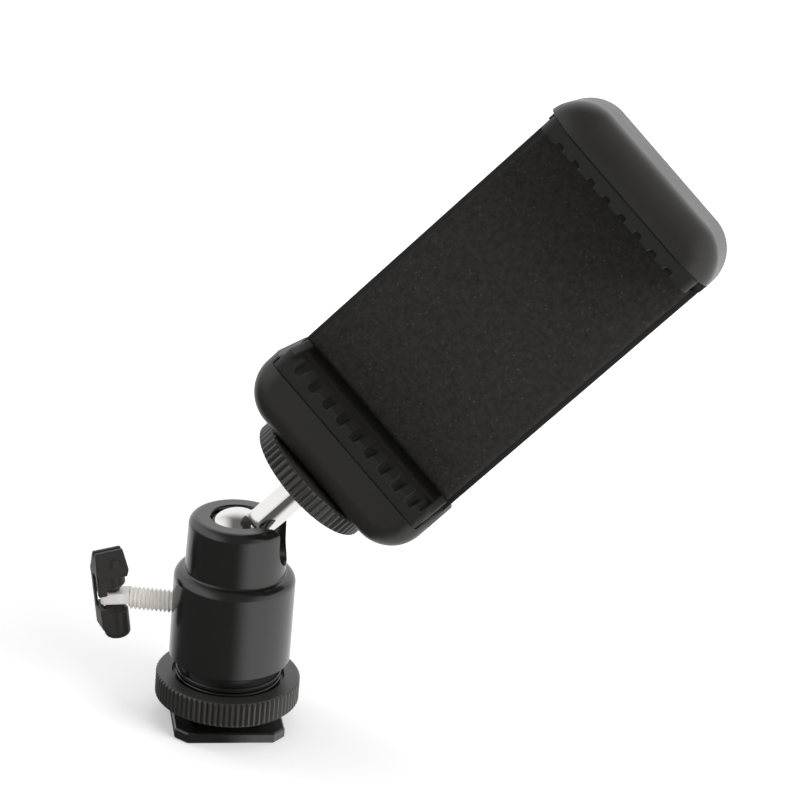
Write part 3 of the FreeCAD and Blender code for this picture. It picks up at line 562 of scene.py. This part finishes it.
def thread_radius(along, angle):
    """Return the radius of a 60 degree thread with narrow flat crests and roots."""
    phase = (along / THREAD["pitch"] - angle / math.tau) % 1.0
    from_crest = abs(phase - 0.5) * 2
    rise = min(max((from_crest - CREST_SHARE) / FLANK_SHARE, 0.0), 1.0)
    return THREAD["crest"] - THREAD["depth"] * rise


def threaded_rings():
    """Return rings of the threaded rod along Z, whose first end is bevelled."""
    start, end = THREAD["start"], THREAD["end"]
    count = math.ceil((end - start) / THREAD["pitch"] * RINGS_A_PITCH)
    rings = []
    for row in range(count + 1):
        along = start + (end - start) * row / count
        limit = THREAD["crest"] - max(0.0, THREAD["bevel"] - (along - start))
        ring = []
        for index in range(THREAD_AROUND):
            angle = math.tau * index / THREAD_AROUND
            radius = min(thread_radius(along, angle), limit)
            ring.append((radius * math.cos(angle), radius * math.sin(angle), along))
        rings.append(ring)
    return rings


# %% [markdown]
# ## The clamp screw's flat head
#
# The end of the screw is pressed flat and drilled across, so that the handle can swing on a pin through
# it. Seen along that hole, it is a plate with two round corners. Four copies of this outline, the outer
# two drawn a little smaller, make a plate with bevelled edges.

# %% Threaded screw with its flat head
FLAT_HEAD = {"outer": 2.1, "inner": 2.85, "half": 1.7, "tall": 1.9, "round": 0.75, "bevel": 0.14}
CORNER_ANGLES = range(0, 91, 15)


def head_corner(side, start, inset):
    """Return the points of one outer corner, a quarter circle that begins at the angle start."""
    centre_x = FLAT_HEAD["round"] - FLAT_HEAD["outer"]
    centre_y = side * (FLAT_HEAD["half"] - FLAT_HEAD["round"])
    reach = FLAT_HEAD["round"] - inset
    turns = [math.radians(start + angle) for angle in CORNER_ANGLES]
    return [(centre_x + reach * math.cos(turn), centre_y + reach * math.sin(turn)) for turn in turns]


def flat_head_rings():
    """Return the head's outline at four heights, square towards the shank."""
    top = FLAT_HEAD["tall"] / 2
    bevel = FLAT_HEAD["bevel"]
    rings = []
    for height, inset in ((-top, bevel), (-top + bevel, 0), (top - bevel, 0), (top, bevel)):
        inner = FLAT_HEAD["inner"] - inset
        half = FLAT_HEAD["half"] - inset
        shank_side = [(inner, -half), (inner, half)]
        outline = head_corner(-1, 180, inset) + shank_side + head_corner(1, 90, inset)
        rings.append([(x, y, height) for x, y in outline])
    return rings


def make_clamp_screw():
    shape = bmesh.new()
    for rings, place in ((threaded_rings(), SCREW), (flat_head_rings(), PIVOT)):
        points = wrapped_tube(shape, rings)
        bmesh.ops.transform(shape, matrix=TO_MM @ place @ FROM_MM, verts=points)
    new_piece("threaded_screw", shape, Matrix(), "clamp_screw", "clamp_screw")


make_clamp_screw()

# %% [markdown]
# ## Soft moulded edges
#
# No moulded or turned piece has a perfectly sharp edge: a thin light line runs along each one. The
# handle and the two rubber pads get theirs from a copy of the solid that is remeshed into small even
# faces and smoothed a few times, which rounds every edge by about the size of two faces and leaves the
# flat parts flat.

# %% Rounded copies of solids
SMOOTHING = 0.5


def rounded_copy(name, node, body, face_size, passes):
    """Make a piece from a solid, with faces of about face_size and edges softened in some passes."""
    copy = new_object(name, nodes[node].data.copy())
    remesh = copy.modifiers.new("small even faces", "REMESH")
    remesh.mode = "VOXEL"
    remesh.voxel_size = face_size * MM
    smooth = copy.modifiers.new("soft edges", "SMOOTH")
    smooth.factor = SMOOTHING
    smooth.iterations = passes
    shown = bpy.context.evaluated_depsgraph_get()
    final = bpy.data.meshes.new_from_object(copy.evaluated_get(shown))
    bpy.data.objects.remove(copy)
    final.name = name
    mesh_piece(name, final, body, node)


rounded_copy("moulded_handle", "wing_handle", "handle", face_size=0.11, passes=6)
rounded_copy("lower_rubber_pad", "lower_jaw_pad", "clamp", face_size=0.15, passes=4)
rounded_copy("upper_rubber_pad", "upper_jaw_pad", "jaw", face_size=0.15, passes=7)

# %% [markdown]
# ## The foam back
#
# The phone's back rests on a glued sheet of foam, about 1.6 mm thick. Cut foam is not flat: its face
# swells a little between its edges, and the edges are pressed down where the blade went. A grid with
# rounded rims and a very low swell shows that, and the open cells come from its material.

# %% Foam's face
FOAM = {"half": 17.2, "low": 14.55, "high": 67.8, "back": 5.0, "thick": 1.6}
RIM_WIDTH = 0.8
RIM_SHARE = 0.28
SWELL = 0.025
SUNK = 0.03  # a little more than the swell, so that the sheet stays inside its solid
SWELL_ACROSS = 0.31
SWELL_ALONG = 0.23


def foam_depth(edge_distance, x, z):
    """Return how far the sheet's face stands off its glued back."""
    rim = min(edge_distance / RIM_WIDTH, 1.0)
    crown = math.sin(rim * math.pi / 2)
    swell = math.sin(x * SWELL_ACROSS + 1.0) * math.sin(z * SWELL_ALONG) * SWELL
    return FOAM["thick"] * (1 - RIM_SHARE + RIM_SHARE * crown) - SUNK + swell * rim


# %% Foam sheet
FOAM_COLUMNS = 40
FOAM_ROWS = 60
RIM_PLACES = [0.0, 0.12, 0.3, 0.55, 0.9]


def spaced(low, high, steps):
    """Return places from low to high, close together near both ends."""
    rim = RIM_PLACES[-1]
    middle = [rim + (high - low - 2 * rim) * step / steps for step in range(1, steps)]
    return [low + x for x in RIM_PLACES + middle] + [high - x for x in reversed(RIM_PLACES)]


def make_foam():
    shape = bmesh.new()
    columns = spaced(-FOAM["half"], FOAM["half"], FOAM_COLUMNS)
    rows = spaced(FOAM["low"], FOAM["high"], FOAM_ROWS)
    grid = []
    for z in rows:
        line = []
        for x in columns:
            edge_distance = min(x + FOAM["half"], FOAM["half"] - x, z - FOAM["low"], FOAM["high"] - z)
            line.append(shape.verts.new((x, FOAM["back"] - foam_depth(edge_distance, x, z), z)))
        grid.append(line)
    closed_grid(shape, grid, FOAM["back"])
    return new_piece("foam_sheet", shape, CLAMP, "clamp", "foam_pad")


foam_sheet = make_foam()

# %% [markdown]
# ## Springs
#
# Two tension springs inside the back box pull the upper jaw down. Each is a wire wound in close turns,
# with a loop at each end over a post. The wire is a tube swept along a helix.

# %% Spring's centre line
SPRING = {"half": 13.9, "depth": 8.8, "radius": 1.62, "wire": 0.28, "low": 17.2, "high": 30.15, "loop": 1.23}
POSTS = (15.4, 31.95)
COILS = 24
COIL_STEPS = 20
NARROW_STEPS = 6
LOOP_SWEEP = 340
LOOP_STEPS = 18
LOW_LOOP_START = -250
HIGH_LOOP_START = -90


def end_loop(post, start):
    """Return a nearly closed loop over the post, beginning at an angle in degrees."""
    turns = [math.radians(start + LOOP_SWEEP * step / LOOP_STEPS) for step in range(LOOP_STEPS + 1)]
    reach = SPRING["loop"]
    return [(reach * math.cos(turn), 0, post + reach * math.sin(turn)) for turn in turns]


def coils():
    """Return a helix that narrows to a point at both ends."""
    count = COILS * COIL_STEPS
    path = []
    for step in range(count + 1):
        angle = math.tau * step / COIL_STEPS + math.pi / 2
        height = SPRING["low"] + (SPRING["high"] - SPRING["low"]) * step / count
        reach = SPRING["radius"] * min(1.0, step / NARROW_STEPS, (count - step) / NARROW_STEPS)
        path.append((reach * math.cos(angle), reach * math.sin(angle), height))
    return path


# %% Wound springs
WIRE_AROUND = 8


def swept_wire(shape, path, radius):
    """Sweep a circle along a path, turning it as little as possible from point to point."""
    turns = [math.tau * step / WIRE_AROUND for step in range(WIRE_AROUND)]
    rings = []
    side = Vector((0, 1, 0))
    for index, point in enumerate(path):
        ahead = (path[min(index + 1, len(path) - 1)] - path[max(index - 1, 0)]).normalized()
        side = (side - ahead * side.dot(ahead)).normalized()
        other = ahead.cross(side)
        rings.append([point + (side * math.cos(turn) + other * math.sin(turn)) * radius for turn in turns])
    wrapped_tube(shape, rings)


def make_spring(name, side, node):
    points = end_loop(POSTS[0], LOW_LOOP_START) + coils() + end_loop(POSTS[1], HIGH_LOOP_START)
    shape = bmesh.new()
    swept_wire(shape, [Vector(point) for point in points], SPRING["wire"])
    place = CLAMP @ moved(side * SPRING["half"], SPRING["depth"], 0)
    piece = new_piece(name, shape, place, "clamp", node)
    piece.parent = None
    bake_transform(piece)


make_spring("wound_spring_left", -1, "spring_left")
make_spring("wound_spring_right", 1, "spring_right")

# %% [markdown]
# ## Cover screws
#
# The back is closed by small screws with a cross recess. Each head is a low disc with a bevelled rim,
# and the cross is cut into its face: the face is a square grid pulled in to a circle, and the points
# inside the cross go down.

# %% Face of a screw head
SCREW_FACE = 12.6
SCREW_RADIUS = 1.7
SCREW_TALL = 0.9
SCREW_BEVEL = 0.15
BEVEL_SLOPE = 0.7
CROSS_ARM = 0.95
CROSS_HALF = 0.2
CROSS_DEEP = 0.55
CROSS_RISE = 0.35
FACE_STEPS = 22
SMALLEST = 1e-9  # keeps the middle of the grid from dividing by zero


def pulled_in(u, v):
    """Move a point of a square grid so that the grid's rim becomes a circle."""
    scale = max(abs(u), abs(v)) / max(math.hypot(u, v), SMALLEST)
    return u * scale, v * scale


def face_depth(u, v):
    """Return how deep the head's face lies: lower in the cross and towards the bevelled rim."""
    out = math.hypot(u, v)
    short, long = sorted((abs(u), abs(v)))
    in_cross = short < CROSS_HALF and long < CROSS_ARM
    cut = CROSS_DEEP * (1 - CROSS_RISE * out / CROSS_ARM) if in_cross else 0
    return SCREW_FACE - cut - max(0.0, out - (SCREW_RADIUS - SCREW_BEVEL)) * BEVEL_SLOPE


# %% Cross-recessed screw heads
def recessed_head(shape, x, z):
    """Draw one head whose face looks along +Y."""
    size = SCREW_RADIUS * 2 / FACE_STEPS
    places = [-SCREW_RADIUS + size * step for step in range(FACE_STEPS + 1)]
    grid = []
    for height in places:
        points = [pulled_in(across, height) for across in places]
        grid.append([shape.verts.new((x + u, face_depth(u, v), z + v)) for u, v in points])
    closed_grid(shape, grid, SCREW_FACE - SCREW_TALL)


# %% Screws of both covers
SHANK_RADIUS = 0.8
SHANK_AROUND = 20
SHANK_ENDS = (6.1, 11.7)
COVER_SCREWS = [(-13, 10), (13, 10), (-14, 66), (14, 66)]
JAW_SCREWS = [(-8, 71.3), (8, 71.3)]


def make_cover_screws(name, node, body, places):
    shape = bmesh.new()
    turns = [math.tau * step / SHANK_AROUND for step in range(SHANK_AROUND)]
    for x, z in places:
        recessed_head(shape, x, z)
        circle = [(x + SHANK_RADIUS * math.cos(turn), z + SHANK_RADIUS * math.sin(turn)) for turn in turns]
        wrapped_tube(shape, [[(across, depth, up) for across, up in circle] for depth in SHANK_ENDS])
    new_piece(name, shape, CLAMP, body, node, smooth=False)


make_cover_screws("cover_screw_heads", "cover_screws", "clamp", COVER_SCREWS)
make_cover_screws("jaw_screw_heads", "jaw_cover_screws", "jaw", JAW_SCREWS)

# %% [markdown]
# ## What black gloss mirrors
#
# Black gloss shows what stands round it rather than its own colour, so photographers leave some sides
# dark for it. Reflections see a dark front here. The room is bright to the right, to the left and
# behind, the floor only to the right and behind. A direction is bright where it points close enough to
# one of these sides.

# %% Bright and dark sides
TO_CAMERA = VIEW_TURN @ Vector((0, -1, 0))
TO_RIGHT = VIEW_TURN @ Vector((1, 0, 0))
FULL = 1.0


def any_of(tree, *values):
    """Return the largest of some values."""
    total = values[0]
    for value in values[1:]:
        total = combined(tree, "MAXIMUM", total, value)
    return total


def side_light(tree, direction, sides, dark):
    """Return a strength that is full towards the given sides and dark away from them.
    Each side comes with the cosines at which its light starts and is full."""
    unit = add_node(tree, "ShaderNodeVectorMath", operation="NORMALIZE")
    link(tree, direction, unit.inputs[0])
    shares = []
    for side, start, end in sides:
        facing = add_node(tree, "ShaderNodeVectorMath", operation="DOT_PRODUCT")
        facing.inputs[1].default_value = side
        link(tree, unit.outputs["Vector"], facing.inputs[0])
        shares.append(ramp_between(tree, facing.outputs["Value"], start, end, dark, FULL))
    return any_of(tree, *shares)


def seen_directly(tree, path):
    """Return 1 for rays that show the background itself, straight or through glass."""
    return any_of(tree, path.outputs["Is Camera Ray"], path.outputs["Is Transmission Ray"])


# %% [markdown]
# ## Floor
#
# The object stands on white paper, so that only a faint shadow stays. The paper is plain and takes
# shadows. For the camera alone it also glows a little, more so further away, which keeps the background
# white, and reflections see it bright or dark by its sides.

# %% Floor
FLOOR_HALF = 3000
FLOOR_WHITE = (0.8, 0.8, 0.8, 1)
FLOOR_DARK = 0.1
FLOOR_SIDES = ((TO_RIGHT, 0.05, 0.66), (-TO_CAMERA, 0.05, 0.8))
GLOW_NEAR = (0.03, 0.28)
GLOW_FAR = (0.2, 0.7)


def floor_paper(tree, path, place):
    """Return white paper that glows for the camera, more so the further it lies from the object."""
    paper = add_node(tree, "ShaderNodeBsdfDiffuse")
    paper.inputs["Color"].default_value = FLOOR_WHITE
    away = add_node(tree, "ShaderNodeVectorMath", operation="LENGTH")
    link(tree, place.outputs["Object"], away.inputs[0])
    ends = (GLOW_NEAR[0], GLOW_FAR[0], GLOW_NEAR[1], GLOW_FAR[1])
    glow = ramp_between(tree, away.outputs["Value"], *ends)
    lift = add_node(tree, "ShaderNodeEmission")
    link(tree, combined(tree, "MULTIPLY", seen_directly(tree, path), glow), lift.inputs["Strength"])
    both = add_node(tree, "ShaderNodeAddShader")
    link(tree, paper.outputs["BSDF"], both.inputs[0])
    link(tree, lift.outputs["Emission"], both.inputs[1])
    return both.outputs["Shader"]


def floor_material():
    material = bpy.data.materials.new("white floor")
    material.use_nodes = True
    tree = material.node_tree
    tree.nodes.remove(tree.nodes["Principled BSDF"])
    path = add_node(tree, "ShaderNodeLightPath")
    place = add_node(tree, "ShaderNodeTexCoord")
    mirrored = add_node(tree, "ShaderNodeEmission")
    sides = side_light(tree, place.outputs["Object"], FLOOR_SIDES, FLOOR_DARK)
    link(tree, sides, mirrored.inputs["Strength"])
    choose = add_node(tree, "ShaderNodeMixShader")
    link(tree, path.outputs["Is Glossy Ray"], choose.inputs["Fac"])
    link(tree, floor_paper(tree, path, place), choose.inputs[1])
    link(tree, mirrored.outputs["Emission"], choose.inputs[2])
    link(tree, choose.outputs["Shader"], tree.nodes["Material Output"].inputs["Surface"])
    return material


def make_floor():
    shape = bmesh.new()
    bmesh.ops.create_grid(shape, x_segments=8, y_segments=8, size=FLOOR_HALF)
    shape.transform(FROM_MM)
    mesh = bpy.data.meshes.new("floor")
    shape.to_mesh(mesh)
    shape.free()
    mesh.materials.append(floor_material())
    floor = new_object("floor", mesh)
    print("floor is", 2 * FLOOR_HALF * MM, "m wide")


make_floor()

# %% [markdown]
# ## World
#
# The room is white where the camera sees it, so the outline of black pieces stays crisp. It lights the
# object evenly from all round, and shows its bright and dark sides in reflections.

# %% World
ROOM_LIGHT = 0.62
ROOM_DARK = 0.15
ROOM_SIDES = ((TO_RIGHT, 0.35, 1.1), (-TO_RIGHT, 0.2, 0.75), (-TO_CAMERA, 0.2, 0.85))


def either(tree, share, zero, one):
    """Return the value zero where share is 0 and the value one where it is 1."""
    node = add_node(tree, "ShaderNodeMix", data_type="FLOAT")
    link(tree, share, node.inputs["Factor"])
    feed(tree, zero, node.inputs["A"])
    feed(tree, one, node.inputs["B"])
    return node.outputs["Result"]


def make_world():
    world = bpy.data.worlds.new("white room")
    bpy.context.scene.world = world
    world.use_nodes = True
    tree = world.node_tree
    back = tree.nodes["Background"]
    back.inputs["Color"].default_value = (1, 1, 1, 1)
    path = add_node(tree, "ShaderNodeLightPath")
    place = add_node(tree, "ShaderNodeTexCoord")
    sides = side_light(tree, place.outputs["Generated"], ROOM_SIDES, ROOM_DARK)
    unseen = either(tree, path.outputs["Is Glossy Ray"], ROOM_LIGHT, sides)
    link(tree, either(tree, seen_directly(tree, path), unseen, FULL), back.inputs["Strength"])
    print("world:", world.name)


make_world()

# %% [markdown]
# ## Lamps
#
# Three soft panels add a little shape to the even light: a large one at the right front, one above, and
# a narrow one at the left back. They are left out of reflections, where the room's bright sides do
# their work.

# %% Lamps
LOOK_AT = Vector((0.02, -0.005, 0.055))


def make_lamp(name, right, front, up, size, power):
    """Put a soft panel right of, in front of and above the object, as the camera sees it, in metres."""
    data = bpy.data.lights.new(name, "AREA")
    data.shape = "RECTANGLE"
    data.size, data.size_y = size
    data.energy = power
    lamp = new_object(name, data)
    lamp.visible_glossy = False
    lamp.location = LOOK_AT + TO_RIGHT * right + TO_CAMERA * front + Vector((0, 0, up))
    lamp.rotation_euler = (LOOK_AT - lamp.location).to_track_quat("-Z", "Y").to_euler()
    print(name, "at", [round(x, 2) for x in lamp.location])


make_lamp("key panel", right=0.42, front=0.3, up=0.22, size=(0.3, 0.36), power=2.4)
make_lamp("top panel", right=0.05, front=-0.1, up=0.6, size=(0.4, 0.4), power=0.8)
make_lamp("left rim", right=-0.45, front=-0.2, up=0.25, size=(0.12, 0.3), power=0.4)
bpy.context.scene.view_settings.view_transform = "Standard"
